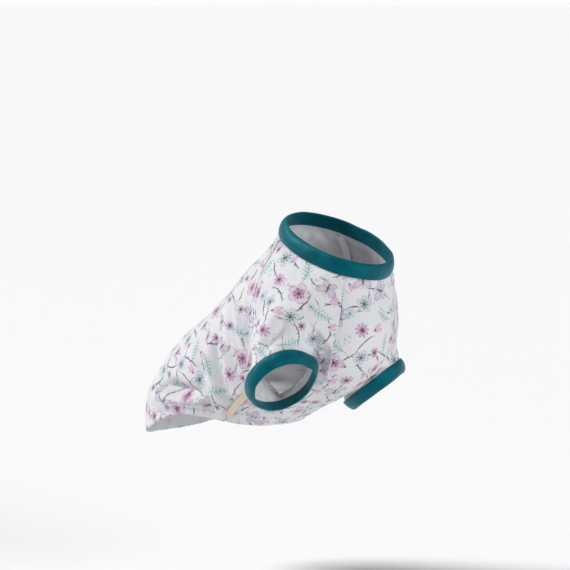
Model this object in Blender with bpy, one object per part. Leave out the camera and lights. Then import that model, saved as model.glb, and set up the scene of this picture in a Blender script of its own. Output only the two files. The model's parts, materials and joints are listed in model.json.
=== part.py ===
"""A small raglan T-shirt in printed jersey, in the form that it has when worn sitting.

Metres, +Z up. The front faces -Y and the wearer's right is -X. The origin is the
middle of the neck opening. The cloth is worked out as a smooth middle surface,
creased by the folds, and then given its wall to both sides.
"""

import math

import bmesh
import bpy
import numpy as np

# Walls and gaps
CLOTH_WALL = 0.0012
HEM_WALL = 0.0018
BAND_WALL = 0.0022
TAPE_WALL = 0.0010
SEAM_GAP = 0.0003

# Neck opening, measured at the seam of its band
NECK_WIDTH = 0.0760
NECK_DEPTH = 0.0900
NECK_TILT = 22.5
NECK_BAND_HEIGHT = 0.0110
NECK_BAND_TAPER = 0.95

# Body
CHEST_WIDTH = 0.1020
BODY_REACH = 0.1830
BODY_DROP = 0.1330
HEM_LIFT = 0.0140

# Sleeves and cuffs, measured at the seam of the cuff's band
CUFF_WIDTH = 0.0500
CUFF_DEPTH = 0.0525
CUFF_BAND_HEIGHT = 0.0102
CUFF_BAND_TAPER = 0.88
SLEEVE_SPREAD = 0.0510
SLEEVE_BACK = 0.0085
SLEEVE_DROP = 0.0925
SLEEVE_PUFF = 0.0045
SLEEVE_TUCK = 0.85
TUCK_TURN = 60.0
TUCK_START = 0.5
UNDERARM_REACH = 0.22

# Near the underarm the sleeve laps over the panels. The lift of its edges starts at a
# share of the way from the neck, and the panels draw back along their own seams there.
# Once the lift is past EDGE_NEAR of its full size, the edge draws back along its own cloth.
UNDERARM_LIFT_REACH = 0.20
UNDERARM_OPEN = 0.0010
UNDERARM_TRIM = 0.0009
TRIM_DOWN = (0.28, 0.42, 0.72, 0.80)
LAP_GAP = 0.0007
EDGE_NEAR = 0.99

# The sleeve's inner side is evened out, then moved off the panels, in turn. The shares
# are of the sleeve's length, and of its width from the front edge and the back edge.
CLEAR_ROUNDS = 6
CLEAR_DOWN = (0.25, 0.95)
CLEAR_SAMPLES = 110
CLEAR_REACH = 0.012
RELAX_STEPS = 4
RELAX_FROM = 0.50
RELAX_FRONT = 0.90
RELAX_BACK = 0.42

# Side tape: its ends as shares of the way from neck to hem, and in degrees from the
# middle of the front
TAPE_WIDTH = 0.0050
TAPE_TOP = 0.652
TAPE_FOOT = 0.925
TAPE_TOP_TURN = 63.7
TAPE_FOOT_TURN = 53.0
TAPE_GAP = 0.0006

# Folds, and how far from a band they have died out
FOLD_DEPTH = 0.0034
FOLD_WIDTH = 0.0080
FOLD_ENDS = 0.35
BAND_HOLD = 0.0120

# Rows and columns of faces
UPPER_ROWS = 17
LOWER_ROWS = 11
UNDERARM_ROWS = 3
HEM_ROWS = 2
CHEST_FACES = 10
BACK_FACES = 38
SLEEVE_FACES = 24
BAND_EDGE_POINTS = 4
TAPE_FACES = 14

# Each section is a ring from the chest to the back, front and back as shares of
# BODY_REACH and BODY_DROP, width as a share of CHEST_WIDTH, seams in degrees from
# the middle of the front. The neck's own row comes before these from its own sizes.
BODY_COLUMNS = (
    "front_y", "front_z", "back_y", "back_z", "width", "front_seam", "back_seam",
)
BODY_SECTIONS = (
    (-0.215, -0.190, 0.275, 0.020, 0.90, 34.0, 118.0),
    (-0.228, -0.320, 0.397, -0.115, 0.98, 33.0, 107.0),
    (-0.228, -0.470, 0.520, -0.262, 1.00, 37.0, 97.0),
    (-0.194, -0.600, 0.650, -0.405, 1.00, 33.0, 86.0),
    (-0.110, -0.705, 0.790, -0.535, 1.00, 29.0, 68.0),
    (-0.006, -0.795, 0.890, -0.665, 0.98, 45.0, 45.0),
    (0.105, -0.865, 0.965, -0.800, 0.96, 54.0, 54.0),
    (0.195, -0.925, 1.010, -0.940, 0.94, 55.0, 55.0),
    (0.245, -0.965, 1.010, -1.120, 0.92, 55.0, 55.0),
)
NECK_SEAMS = (36.0, 128.0)
UNDERARM_SECTION = 6

# Sleeves: side is -1 for the wearer's right. The spread, back and drop of the cuff's
# middle are shares of the sizes above, and the angles are in degrees.
SLEEVE_COLUMNS = ("name", "side", "spread", "back", "drop", "pitch", "splay")
SLEEVES = (
    ("right", -1, 1.08, 0.15, 0.927, 50.0, 17.0),
    ("left", 1, 1.04, 1.55, 1.075, 33.0, 20.0),
)

# How far round the cuff the sleeve's back edge has come, in degrees from the cuff's
# front edge outward, in even steps from the neck to just before the underarm
BACK_TURNS = (85.0, 100.0, 115.0, 135.0, 165.0)

# Folds run from a start to an end, x as shares of half of CHEST_WIDTH, y of
# BODY_REACH and z of BODY_DROP. Depth is a share of FOLD_DEPTH, outward if above 0.
FOLD_COLUMNS = ("x0", "y0", "z0", "x1", "y1", "z1", "width", "depth")
FOLDS = (
    (-0.90, 0.44, -0.45, -0.84, 0.40, -0.82, 0.80, 0.75),
    (-0.92, 0.50, -0.50, -0.86, 0.46, -0.86, 0.75, -0.50),
    (-0.86, 0.41, -0.36, -0.92, 0.33, -0.74, 0.80, -0.45),
    (-0.78, 0.37, -0.26, -1.02, 0.26, -0.64, 0.75, 0.65),
    (-0.98, 0.30, -0.40, -1.05, 0.22, -0.62, 0.55, -0.45),
    (-1.09, -0.03, -0.23, -1.30, 0.04, -0.41, 0.70, 0.45),
    (-1.30, 0.04, -0.41, -1.36, 0.10, -0.54, 0.60, 0.45),
    (-0.95, -0.07, -0.39, -1.19, 0.00, -0.47, 0.55, 0.45),
    (-1.10, -0.06, -0.34, -1.27, 0.00, -0.44, 0.55, -0.40),
    (-0.80, 0.76, -0.76, -0.97, 0.58, -0.81, 0.95, -1.00),
    (-0.76, 0.86, -0.86, -0.95, 0.48, -0.87, 0.75, 0.80),
    (-0.84, 0.80, -0.95, -0.90, 0.58, -0.95, 0.60, -0.55),
    (-0.75, 0.22, -0.07, -0.98, 0.21, -0.32, 0.60, -0.40),
    (-0.98, 0.21, -0.32, -1.06, 0.20, -0.55, 0.55, -0.45),
    (0.90, 0.45, -0.45, 0.82, 0.38, -0.88, 0.75, 0.70),
    (0.86, 0.40, -0.36, 0.88, 0.32, -0.80, 0.75, -0.60),
    (0.80, 0.78, -0.78, 0.96, 0.58, -0.84, 0.95, -0.70),
    (0.76, 0.86, -0.88, 0.94, 0.50, -0.90, 0.75, 0.60),
    (1.10, -0.02, -0.24, 1.30, 0.06, -0.50, 0.75, 0.40),
)


def row_named(columns, row):
    return dict(zip(columns, row, strict=True))


SLEEVE_ROWS = [row_named(SLEEVE_COLUMNS, row) for row in SLEEVES]


def unit(vectors):
    return vectors / np.maximum(np.linalg.norm(vectors, axis=-1, keepdims=True), 1e-12)


def smooth(x):
    x = np.clip(x, 0.0, 1.0)
    return x * x * (3.0 - 2.0 * x)


def spline(rows, at):
    """A smooth curve through evenly spaced rows, read at shares of its length."""
    last = len(rows) - 1
    x = np.clip(np.asarray(at, float), 0.0, 1.0) * last
    i = np.minimum(x.astype(int), last - 1)
    t = (x - i)[..., None]
    before, start = rows[np.maximum(i - 1, 0)], rows[i]
    end, after = rows[i + 1], rows[np.minimum(i + 2, last)]
    leave, arrive = (end - before) / 2.0, (after - start) / 2.0
    return (
        (2 * t**3 - 3 * t**2 + 1) * start
        + (t**3 - 2 * t**2 + t) * leave
        + (-2 * t**3 + 3 * t**2) * end
        + (t**3 - t**2) * arrive
    )


def body_table():
    """The sections in metres and radians, the neck first."""
    tilt = math.radians(NECK_TILT)
    y, z = NECK_DEPTH / 2 * math.cos(tilt), NECK_DEPTH / 2 * math.sin(tilt)
    rows = [(-y, -z, y, z, NECK_WIDTH / 2, *np.radians(NECK_SEAMS))]
    for section in BODY_SECTIONS:
        r = row_named(BODY_COLUMNS, section)
        front = (r["front_y"] * BODY_REACH, r["front_z"] * BODY_DROP)
        back = (r["back_y"] * BODY_REACH, r["back_z"] * BODY_DROP)
        seams = np.radians((r["front_seam"], r["back_seam"]))
        rows.append((*front, *back, r["width"] * CHEST_WIDTH / 2, *seams))
    return np.array(rows)


BODY = body_table()
UNDERARM = UNDERARM_SECTION / (len(BODY) - 1)


def body_point(down, turn):
    """The body's surface: down from neck to hem, turn from the front to the wearer's left."""
    down, turn = np.broadcast_arrays(np.asarray(down, float), np.asarray(turn, float))
    r = spline(BODY, down)
    front, back = r[..., 0:2], r[..., 2:4]
    middle, half = (front + back) / 2, (back - front) / 2
    yz = middle - half * np.cos(turn)[..., None]
    x = r[..., 4] * np.sin(turn)
    lift = HEM_LIFT * smooth((down - UNDERARM) / (1 - UNDERARM)) * np.sin(turn) ** 4
    return np.stack([x, yz[..., 0], yz[..., 1] + lift], axis=-1)


def body_normal(down, turn):
    """Out of the body, from small steps to either side."""
    step = 1e-4
    d = np.clip(down, step, 1 - step)
    along = body_point(d + step, turn) - body_point(d - step, turn)
    across = body_point(d, turn + step) - body_point(d, turn - step)
    return unit(np.cross(along, across))


def seam_turn(down, which):
    """Where a raglan seam lies, 0 the chest panel's and 1 the back panel's, one below the underarm."""
    turns = spline(BODY, down)[..., 5:7]
    return np.where(np.asarray(down) < UNDERARM, turns[..., which], turns[..., 0])


def neck_axis():
    tilt = math.radians(NECK_TILT)
    return np.array([0.0, -math.sin(tilt), math.cos(tilt)])


def cuff_frame(row):
    """The cuff's middle, its axis out of the opening, and its forward and outward directions."""
    side = row["side"]
    pitch, splay = math.radians(row["pitch"]), math.radians(row["splay"])
    level = math.cos(splay)
    axis = np.array([side * math.sin(splay), -level * math.sin(pitch), -level * math.cos(pitch)])
    middle = np.array(
        [
            side * SLEEVE_SPREAD * row["spread"],
            SLEEVE_BACK * row["back"],
            -SLEEVE_DROP * row["drop"],
        ]
    )
    outward = unit(np.array([side, 0.0, 0.0]) - axis * side * axis[0])
    forward = np.cross(axis, outward) * side
    return middle, axis, forward, outward


def cuff_point(row, turn):
    """A point of the cuff's seam, turned from its front edge outward."""
    middle, _, forward, outward = cuff_frame(row)
    along = np.cos(turn)[..., None] * forward * CUFF_DEPTH / 2
    return middle + along + np.sin(turn)[..., None] * outward * CUFF_WIDTH / 2


def cuff_turn(row, down):
    """How far round the cuff the front seam lies, seen along the cuff's axis."""
    middle, _, forward, outward = cuff_frame(row)
    away = body_point(down, row["side"] * seam_turn(down, 0)) - middle
    return np.unwrap(np.arctan2(away @ outward, away @ forward))


def cuff_ring(row):
    """The cuff's seam, once round from the underarm seam over the front and the outer side."""
    start = cuff_turn(row, np.array([UNDERARM]))
    return cuff_point(row, np.linspace(start[0], start[0] + 2 * math.pi, SLEEVE_FACES + 1))


def neck_ring():
    """The neck's seam, once round from the right front seam, on the edges of all four pieces."""
    front, back = np.radians(NECK_SEAMS)
    chest = np.linspace(-front, front, CHEST_FACES + 1)
    shoulder = np.linspace(front, back, SLEEVE_FACES + 1)
    rear = np.linspace(back, 2 * math.pi - back, BACK_FACES + 1)
    other = 2 * math.pi - shoulder[::-1]
    turns = np.concatenate([chest, shoulder[1:], rear[1:], other[1:-1]])
    return body_point(0.0, turns)


def ring_outward(points, middle, axis):
    """Straight out from a band's axis, at points on its seam."""
    out = points - middle
    return unit(out - axis * (out @ axis)[..., None])


def grid_normals(grid):
    return unit(np.cross(np.gradient(grid, axis=0), np.gradient(grid, axis=1)))


def crease(grid, normals):
    """Moves a surface by its folds, which die out toward the bands."""
    scale = np.array([CHEST_WIDTH / 2, BODY_REACH, BODY_DROP])
    lift = np.zeros(grid.shape[:-1])
    for fold in FOLDS:
        r = row_named(FOLD_COLUMNS, fold)
        start = np.array([r["x0"], r["y0"], r["z0"]]) * scale
        run = np.array([r["x1"], r["y1"], r["z1"]]) * scale - start
        along = np.clip((grid - start) @ run / (run @ run), 0.0, 1.0)
        off = np.linalg.norm(grid - start - along[..., None] * run, axis=-1)
        ends = FOLD_ENDS + (1 - FOLD_ENDS) * np.sin(math.pi * along)
        shape = np.exp(-((off / (r["width"] * FOLD_WIDTH)) ** 2))
        lift += r["depth"] * FOLD_DEPTH * shape * ends
    for ring in [neck_ring()] + [cuff_ring(row) for row in SLEEVE_ROWS]:
        reach = np.linalg.norm(grid[..., None, :] - ring, axis=-1).min(axis=-1)
        lift *= smooth(reach / BAND_HOLD)
    return grid + normals * lift[..., None]


def panel(name, which, faces, middle, material):
    """A body panel between its two seams, mirrored about the front or the back."""
    upper = np.linspace(0.0, UNDERARM, UPPER_ROWS)
    lower = np.linspace(UNDERARM, 1.0, LOWER_ROWS + 1)
    down = np.concatenate([upper, lower[1:]])[:, None]
    edge = seam_turn(down, which)
    step = 1e-4
    reach = body_point(down, edge + step) - body_point(down, edge)
    extra = smooth((down - TRIM_DOWN[0]) / (TRIM_DOWN[1] - TRIM_DOWN[0]))
    extra = extra * smooth((TRIM_DOWN[3] - down) / (TRIM_DOWN[3] - TRIM_DOWN[2]))
    trim = (SEAM_GAP / 2 + UNDERARM_TRIM * extra) * step / np.linalg.norm(reach, axis=-1)
    turn = middle + (np.abs(edge - middle) - trim) * np.linspace(-1.0, 1.0, faces + 1)
    base = body_normal(down, turn)
    grid = crease(body_point(down, turn), base)
    normals = grid_normals(grid)
    normals[:, 0], normals[:, -1] = base[:, 0], base[:, -1]
    normals[0] = ring_outward(grid[0], np.zeros(3), neck_axis())
    wall = np.full((len(grid), 1, 1), CLOTH_WALL)
    wall[-HEM_ROWS:] = HEM_WALL
    walled(name, grid, normals, wall, material)


def sleeve_surface(row):
    """The sleeve's smooth surface, blended between the neck, the cuff and the two seams."""
    side = row["side"]
    ring = cuff_ring(row)
    down = np.linspace(0.0, UNDERARM, UPPER_ROWS)
    share = np.linspace(0.0, 1.0, UNDERARM_ROWS + 1)[1:, None]
    edges = []
    for which in (0, 1):
        line = body_point(down, side * seam_turn(down, which))
        edges.append(np.concatenate([line, line[-1] + (ring[0] - line[-1]) * share]))
    u = np.linspace(0.0, 1.0, SLEEVE_FACES + 1)
    v = np.linspace(0.0, 1.0, len(edges[0]))[:, None, None]
    front, back = seam_turn(0.0, 0), seam_turn(0.0, 1)
    arc = body_point(0.0, side * (front + (back - front) * u))
    start = cuff_turn(row, down)
    start = np.concatenate([start, np.repeat(start[-1:], UNDERARM_ROWS)])[:, None]
    stops = np.append(np.radians(BACK_TURNS), start[-1] + 2 * math.pi)[:, None]
    end = spline(stops, down / UNDERARM)
    end = np.concatenate([end, np.repeat(end[-1:], UNDERARM_ROWS, axis=0)])
    turn = start + (end - start) * u
    cuff = cuff_point(row, turn)
    tuck = SLEEVE_TUCK * smooth(-turn / math.radians(TUCK_TURN) - TUCK_START)[..., None]
    u = u[None, :, None]
    near = v + (1 - v) * tuck
    ruled = (1 - near) * arc + near * cuff
    front_miss = edges[0][:, None] - ruled[:, :1]
    back_miss = edges[1][:, None] - ruled[:, -1:]
    reach = 1 - (1 - UNDERARM_REACH) * smooth(v)
    near_front = np.maximum(1 - u / reach, 0) ** 2
    near_back = np.maximum(1 - (1 - u) / reach, 0) ** 2
    grid = ruled + near_front * front_miss + near_back * back_miss
    puff = SLEEVE_PUFF * np.sin(math.pi * v) * np.sin(math.pi * u)
    grid = grid + grid_normals(grid) * side * puff
    open_seams(grid, row)
    slack = smooth((v - RELAX_FROM) / (1 - RELAX_FROM))
    slack = slack * np.maximum(smooth(1 - u / RELAX_FRONT), smooth(1 - (1 - u) / RELAX_BACK))
    slack = slack[1:-1, 1:-1]
    for _ in range(CLEAR_ROUNDS):
        for _ in range(RELAX_STEPS):
            beside = grid[1:-1, :-2] + grid[1:-1, 2:]
            above = grid[:-2, 1:-1] + grid[2:, 1:-1]
            grid[1:-1, 1:-1] += ((beside + above) / 4 - grid[1:-1, 1:-1]) * slack
        clear_of_panels(grid, side)
    return grid


def clear_of_panels(grid, side):
    """Moves the sleeve's inner points that lie against a panel out to a wall and a gap from it."""
    down = np.linspace(*CLEAR_DOWN, CLEAR_SAMPLES)[:, None]
    turn = np.linspace(0.0, math.pi, CLEAR_SAMPLES)[None, :]
    chest, back = seam_turn(down, 0), seam_turn(down, 1)
    over_panel = ((turn < chest) | (turn > back)).ravel()
    points = body_point(down, side * turn).reshape(-1, 3)
    normals = body_normal(down, side * turn).reshape(-1, 3) * np.ones((1, 3))
    inner = grid[1:-1, 1:-1].reshape(-1, 3)
    away = ((inner[:, None] - points) ** 2).sum(axis=-1)
    nearest = away.argmin(axis=1)
    over_panel = over_panel[nearest] & (away.min(axis=1) < CLEAR_REACH**2)
    height = ((inner - points[nearest]) * normals[nearest]).sum(axis=-1)
    short = np.maximum(CLOTH_WALL + LAP_GAP - height, 0.0) * over_panel
    inner = inner + normals[nearest] * short[:, None]
    grid[1:-1, 1:-1] = inner.reshape(grid[1:-1, 1:-1].shape)


def open_seams(grid, row):
    """Draws the sleeve's edges back from the panels, further where the cloth turns off the body."""
    side = row["side"]
    down = np.linspace(0.0, UNDERARM, UPPER_ROWS)
    near = smooth(1 - (UNDERARM - down) / UNDERARM_LIFT_REACH)
    near = np.append(near, np.ones(UNDERARM_ROWS))[:, None]
    for which, edge, beside in ((0, 0, 1), (1, -1, -2)):
        turn = side * seam_turn(down, which)
        out = body_normal(down, turn)
        out = np.concatenate([out, np.repeat(out[-1:], UNDERARM_ROWS, axis=0)])
        inward = unit(grid[:, beside] - grid[:, edge])
        bend = np.abs((inward * out).sum(axis=-1, keepdims=True))
        level = unit(inward - out * (inward * out).sum(axis=-1, keepdims=True))
        level = np.where(near > EDGE_NEAR, inward, level)
        bend = np.where(near > EDGE_NEAR, 0.0, bend)
        apart = near * UNDERARM_OPEN
        apart[-1] = 0.0
        grid[:, edge] += level * (SEAM_GAP / 2 + CLOTH_WALL / 2 * bend + apart)
        lift = near * (CLOTH_WALL + SEAM_GAP)
        lift[UPPER_ROWS:] *= np.linspace(1.0, 0.0, UNDERARM_ROWS + 1)[1:, None]
        grid[:, edge] += out * lift


def sleeve(row, material):
    """A raglan sleeve with its front edge, its back edge and its underarm seam open by the gap."""
    side = row["side"]
    middle, axis, _, _ = cuff_frame(row)
    grid = sleeve_surface(row)
    grid = crease(grid, grid_normals(grid) * side)
    normals = grid_normals(grid) * side
    normals[0] = ring_outward(grid[0], np.zeros(3), neck_axis())
    normals[-1] = ring_outward(grid[-1], middle, axis)
    walled("sleeve_" + row["name"], grid, normals, CLOTH_WALL, material)


def walled(name, grid, normals, wall, material):
    """Gives a surface its wall to both sides and closes it along its four edges."""
    rows, cols = grid.shape[:2]
    outer, inner = grid + normals * wall / 2, grid - normals * wall / 2
    points = np.concatenate([outer.reshape(-1, 3), inner.reshape(-1, 3)])
    at = np.arange(2 * rows * cols).reshape(2, rows, cols)
    faces = []
    for layer in (0, 1):
        for i in range(rows - 1):
            for j in range(cols - 1):
                a, b = at[layer, i, j : j + 2]
                d, c = at[layer, i + 1, j : j + 2]
                faces.append((a, b, c, d) if layer == 0 else (d, c, b, a))
    for edge in (at[:, 0], at[:, -1], at[:, :, 0], at[:, :, -1]):
        for k in range(edge.shape[1] - 1):
            faces.append((edge[0, k], edge[1, k], edge[1, k + 1], edge[0, k + 1]))
    mesh_object(name, points, faces, material)


def band(name, ring, middle, axis, height, taper, material):
    """A folded band, a tall loop with a round free edge, that stands on a seam's own ring."""
    radial = ring_outward(ring, middle, axis)
    half = BAND_WALL / 2
    profile = [(SEAM_GAP, half)]
    for turn in np.linspace(0.0, math.pi, BAND_EDGE_POINTS):
        profile.append((height - half + half * math.sin(turn), half * math.cos(turn)))
    profile.append((SEAM_GAP, -half))
    points = []
    for rise, out in profile:
        shrink = 1.0 + (taper - 1.0) * rise / height
        points.append(middle + (ring - middle) * shrink + axis * rise + radial * out)
    count, cols = len(profile), len(ring)
    at = np.arange(count * cols).reshape(count, cols)
    faces = []
    for i in range(count):
        for j in range(cols):
            above, beside = (i + 1) % count, (j + 1) % cols
            faces.append((at[i, j], at[i, beside], at[above, beside], at[above, j]))
    mesh_object(name, np.concatenate(points), faces, material)


def tape(name, side, material):
    """A flat strip that runs straight down to the hem from behind the cuff, across the side seam."""
    down = np.linspace(TAPE_TOP, TAPE_FOOT, TAPE_FACES + 1)
    share = (down - TAPE_TOP) / (TAPE_FOOT - TAPE_TOP)
    turn = side * np.radians(TAPE_TOP_TURN + (TAPE_FOOT_TURN - TAPE_TOP_TURN) * share)
    line, out = body_point(down, turn), body_normal(down, turn)
    across = unit(np.cross(np.gradient(line, axis=0), out))
    places = np.array([-0.5, 0.0, 0.5])[None, :, None]
    normals = np.repeat(out[:, None], 3, axis=1)
    grid = crease(line[:, None] + across[:, None] * TAPE_WIDTH * places, normals)
    rise = (HEM_WALL + TAPE_WALL) / 2 + TAPE_GAP
    walled(name, grid + normals * rise, normals, TAPE_WALL, material)


def mesh_object(name, points, faces, material):
    mesh = bpy.data.meshes.new(name)
    mesh.from_pydata(points.tolist(), [], [tuple(int(k) for k in f) for f in faces])
    work = bmesh.new()
    work.from_mesh(mesh)
    bmesh.ops.recalc_face_normals(work, faces=work.faces)
    work.to_mesh(mesh)
    work.free()
    mesh.shade_smooth()
    mesh.set_sharp_from_angle(angle=math.radians(50))
    mesh.materials.append(material)
    obj = bpy.data.objects.new(name, mesh)
    bpy.context.scene.collection.objects.link(obj)


def cloth_material(name, colour, roughness):
    mat = bpy.data.materials.new(name)
    mat.use_nodes = True
    shader = mat.node_tree.nodes["Principled BSDF"]
    shader.inputs["Base Color"].default_value = (*colour, 1.0)
    shader.inputs["Roughness"].default_value = roughness
    shader.inputs["Metallic"].default_value = 0.0
    return mat


def build():
    for obj in list(bpy.data.objects):
        bpy.data.objects.remove(obj, do_unlink=True)
    chest = cloth_material("chest_jersey", (0.84, 0.84, 0.89), 0.85)
    back = cloth_material("back_jersey", (0.83, 0.83, 0.89), 0.85)
    panel("chest_panel", 0, CHEST_FACES, 0.0, chest)
    panel("back_panel", 1, BACK_FACES, math.pi, back)
    for row in SLEEVE_ROWS:
        name = row["name"]
        jersey = cloth_material("sleeve_jersey_" + name, (0.84, 0.84, 0.88), 0.85)
        sleeve(row, jersey)
        middle, axis, _, _ = cuff_frame(row)
        teal = cloth_material("cuff_jersey_" + name, (0.01, 0.20, 0.24), 0.70)
        seam = cuff_ring(row)[:-1]
        band("cuff_" + name, seam, middle, axis, CUFF_BAND_HEIGHT, CUFF_BAND_TAPER, teal)
    teal = cloth_material("neck_jersey", (0.01, 0.19, 0.24), 0.70)
    seam = neck_ring()
    band("neck_band", seam, np.zeros(3), neck_axis(), NECK_BAND_HEIGHT, NECK_BAND_TAPER, teal)
    tape("side_tape", -1, cloth_material("cream_tape", (0.75, 0.66, 0.52), 0.80))


build()
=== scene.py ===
import json
import math

import bpy
import numpy as np
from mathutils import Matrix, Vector

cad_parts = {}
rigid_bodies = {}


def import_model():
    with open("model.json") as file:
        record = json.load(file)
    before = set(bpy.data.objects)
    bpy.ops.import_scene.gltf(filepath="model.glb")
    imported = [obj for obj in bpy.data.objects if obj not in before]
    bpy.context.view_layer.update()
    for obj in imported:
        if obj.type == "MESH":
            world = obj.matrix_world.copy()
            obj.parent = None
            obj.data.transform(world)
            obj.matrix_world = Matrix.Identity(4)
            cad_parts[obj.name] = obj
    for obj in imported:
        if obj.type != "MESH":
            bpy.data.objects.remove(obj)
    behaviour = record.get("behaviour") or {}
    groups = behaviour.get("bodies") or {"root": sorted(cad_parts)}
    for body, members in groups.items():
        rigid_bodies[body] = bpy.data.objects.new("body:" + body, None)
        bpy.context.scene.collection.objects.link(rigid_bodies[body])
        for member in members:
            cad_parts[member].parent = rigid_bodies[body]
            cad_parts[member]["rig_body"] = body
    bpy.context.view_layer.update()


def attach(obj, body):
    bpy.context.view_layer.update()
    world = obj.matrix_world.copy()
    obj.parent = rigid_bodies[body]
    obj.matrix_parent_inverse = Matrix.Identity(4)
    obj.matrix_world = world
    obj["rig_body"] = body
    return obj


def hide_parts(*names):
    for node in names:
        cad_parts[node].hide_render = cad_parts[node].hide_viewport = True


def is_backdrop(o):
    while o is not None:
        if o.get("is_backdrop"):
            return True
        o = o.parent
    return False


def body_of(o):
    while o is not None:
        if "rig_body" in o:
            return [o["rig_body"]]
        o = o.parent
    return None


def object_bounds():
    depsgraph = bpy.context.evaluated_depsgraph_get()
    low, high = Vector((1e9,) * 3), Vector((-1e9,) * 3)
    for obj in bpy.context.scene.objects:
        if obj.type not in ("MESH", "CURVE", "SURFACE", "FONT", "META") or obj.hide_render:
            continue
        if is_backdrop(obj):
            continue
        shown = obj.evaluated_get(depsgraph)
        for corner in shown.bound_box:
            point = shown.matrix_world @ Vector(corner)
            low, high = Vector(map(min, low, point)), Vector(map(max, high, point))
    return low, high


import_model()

for obj in bpy.data.objects:
    obj.select_set(False)
print("packed model loaded")

# The cut of the garment, in metres and degrees, as in the solids
cut = {
    "neckWidth": 0.0760, "neckDepth": 0.0900, "neckTilt": 22.5,
    "neckBandHeight": 0.0110, "neckBandTaper": 0.95,
    "chestWidth": 0.1020, "bodyReach": 0.1830, "bodyDrop": 0.1330, "hemLift": 0.0140,
    "cuffWidth": 0.0500, "cuffDepth": 0.0525, "cuffBandHeight": 0.0102, "cuffBandTaper": 0.88,
    "sleeveSpread": 0.0510, "sleeveBack": 0.0085, "sleeveDrop": 0.0925,
    "sleevePuff": 0.0045, "sleeveTuck": 0.85, "tuckTurn": 60.0, "tuckStart": 0.5,
    "cloth": 0.0012, "seamGap": 0.00006,
}

# Rings from chest to back: front y and z, back y and z, half width, front and back seam angle
sections = (
    (-0.215, -0.190, 0.275, 0.020, 0.90, 34.0, 118.0),
    (-0.228, -0.320, 0.397, -0.115, 0.98, 33.0, 107.0),
    (-0.228, -0.470, 0.520, -0.262, 1.00, 37.0, 97.0),
    (-0.194, -0.600, 0.650, -0.405, 1.00, 33.0, 86.0),
    (-0.110, -0.705, 0.790, -0.535, 1.00, 29.0, 68.0),
    (-0.006, -0.795, 0.890, -0.665, 0.98, 45.0, 45.0),
    (0.105, -0.865, 0.965, -0.800, 0.96, 54.0, 54.0),
    (0.195, -0.925, 1.010, -0.940, 0.94, 55.0, 55.0),
    (0.245, -0.965, 1.010, -1.120, 0.92, 55.0, 55.0),
)
neckSeams = (36.0, 128.0)
underarm = 6 / len(sections)

sleeves = {
    "right": {"side": -1, "spread": 1.08, "back": 0.15, "drop": 0.927, "pitch": 50.0, "splay": 17.0},
    "left": {"side": 1, "spread": 1.04, "back": 1.55, "drop": 1.075, "pitch": 33.0, "splay": 20.0},
}
backTurns = (85.0, 100.0, 115.0, 135.0, 165.0)

# Folds: start and end as shares of the body's half width, reach and drop, then width and depth in mm
folds = (
    (-0.90, 0.44, -0.45, -0.84, 0.40, -0.82, 6.4, 2.55),
    (-0.92, 0.50, -0.50, -0.86, 0.46, -0.86, 6.0, -1.70),
    (-0.86, 0.41, -0.36, -0.92, 0.33, -0.74, 6.4, -1.53),
    (-0.78, 0.37, -0.26, -1.02, 0.26, -0.64, 6.0, 2.21),
    (-0.98, 0.30, -0.40, -1.05, 0.22, -0.62, 4.4, -1.53),
    (-1.09, -0.03, -0.23, -1.30, 0.04, -0.41, 5.6, 1.53),
    (-1.30, 0.04, -0.41, -1.36, 0.10, -0.54, 4.8, 1.53),
    (-0.95, -0.07, -0.39, -1.19, 0.00, -0.47, 4.4, 1.53),
    (-1.10, -0.06, -0.34, -1.27, 0.00, -0.44, 4.4, -1.36),
    (-0.80, 0.76, -0.76, -0.97, 0.58, -0.81, 7.6, -3.40),
    (-0.76, 0.86, -0.86, -0.95, 0.48, -0.87, 6.0, 2.72),
    (-0.84, 0.80, -0.95, -0.90, 0.58, -0.95, 4.8, -1.87),
    (-0.75, 0.22, -0.07, -0.98, 0.21, -0.32, 4.8, -1.36),
    (-0.98, 0.21, -0.32, -1.06, 0.20, -0.55, 4.4, -1.53),
    (0.90, 0.45, -0.45, 0.82, 0.38, -0.88, 6.0, 2.38),
    (0.86, 0.40, -0.36, 0.88, 0.32, -0.80, 6.0, -2.04),
    (0.80, 0.78, -0.78, 0.96, 0.58, -0.84, 7.6, -2.38),
    (0.76, 0.86, -0.88, 0.94, 0.50, -0.90, 6.0, 2.04),
    (1.10, -0.02, -0.24, 1.30, 0.06, -0.50, 6.0, 1.36),
)

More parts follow.
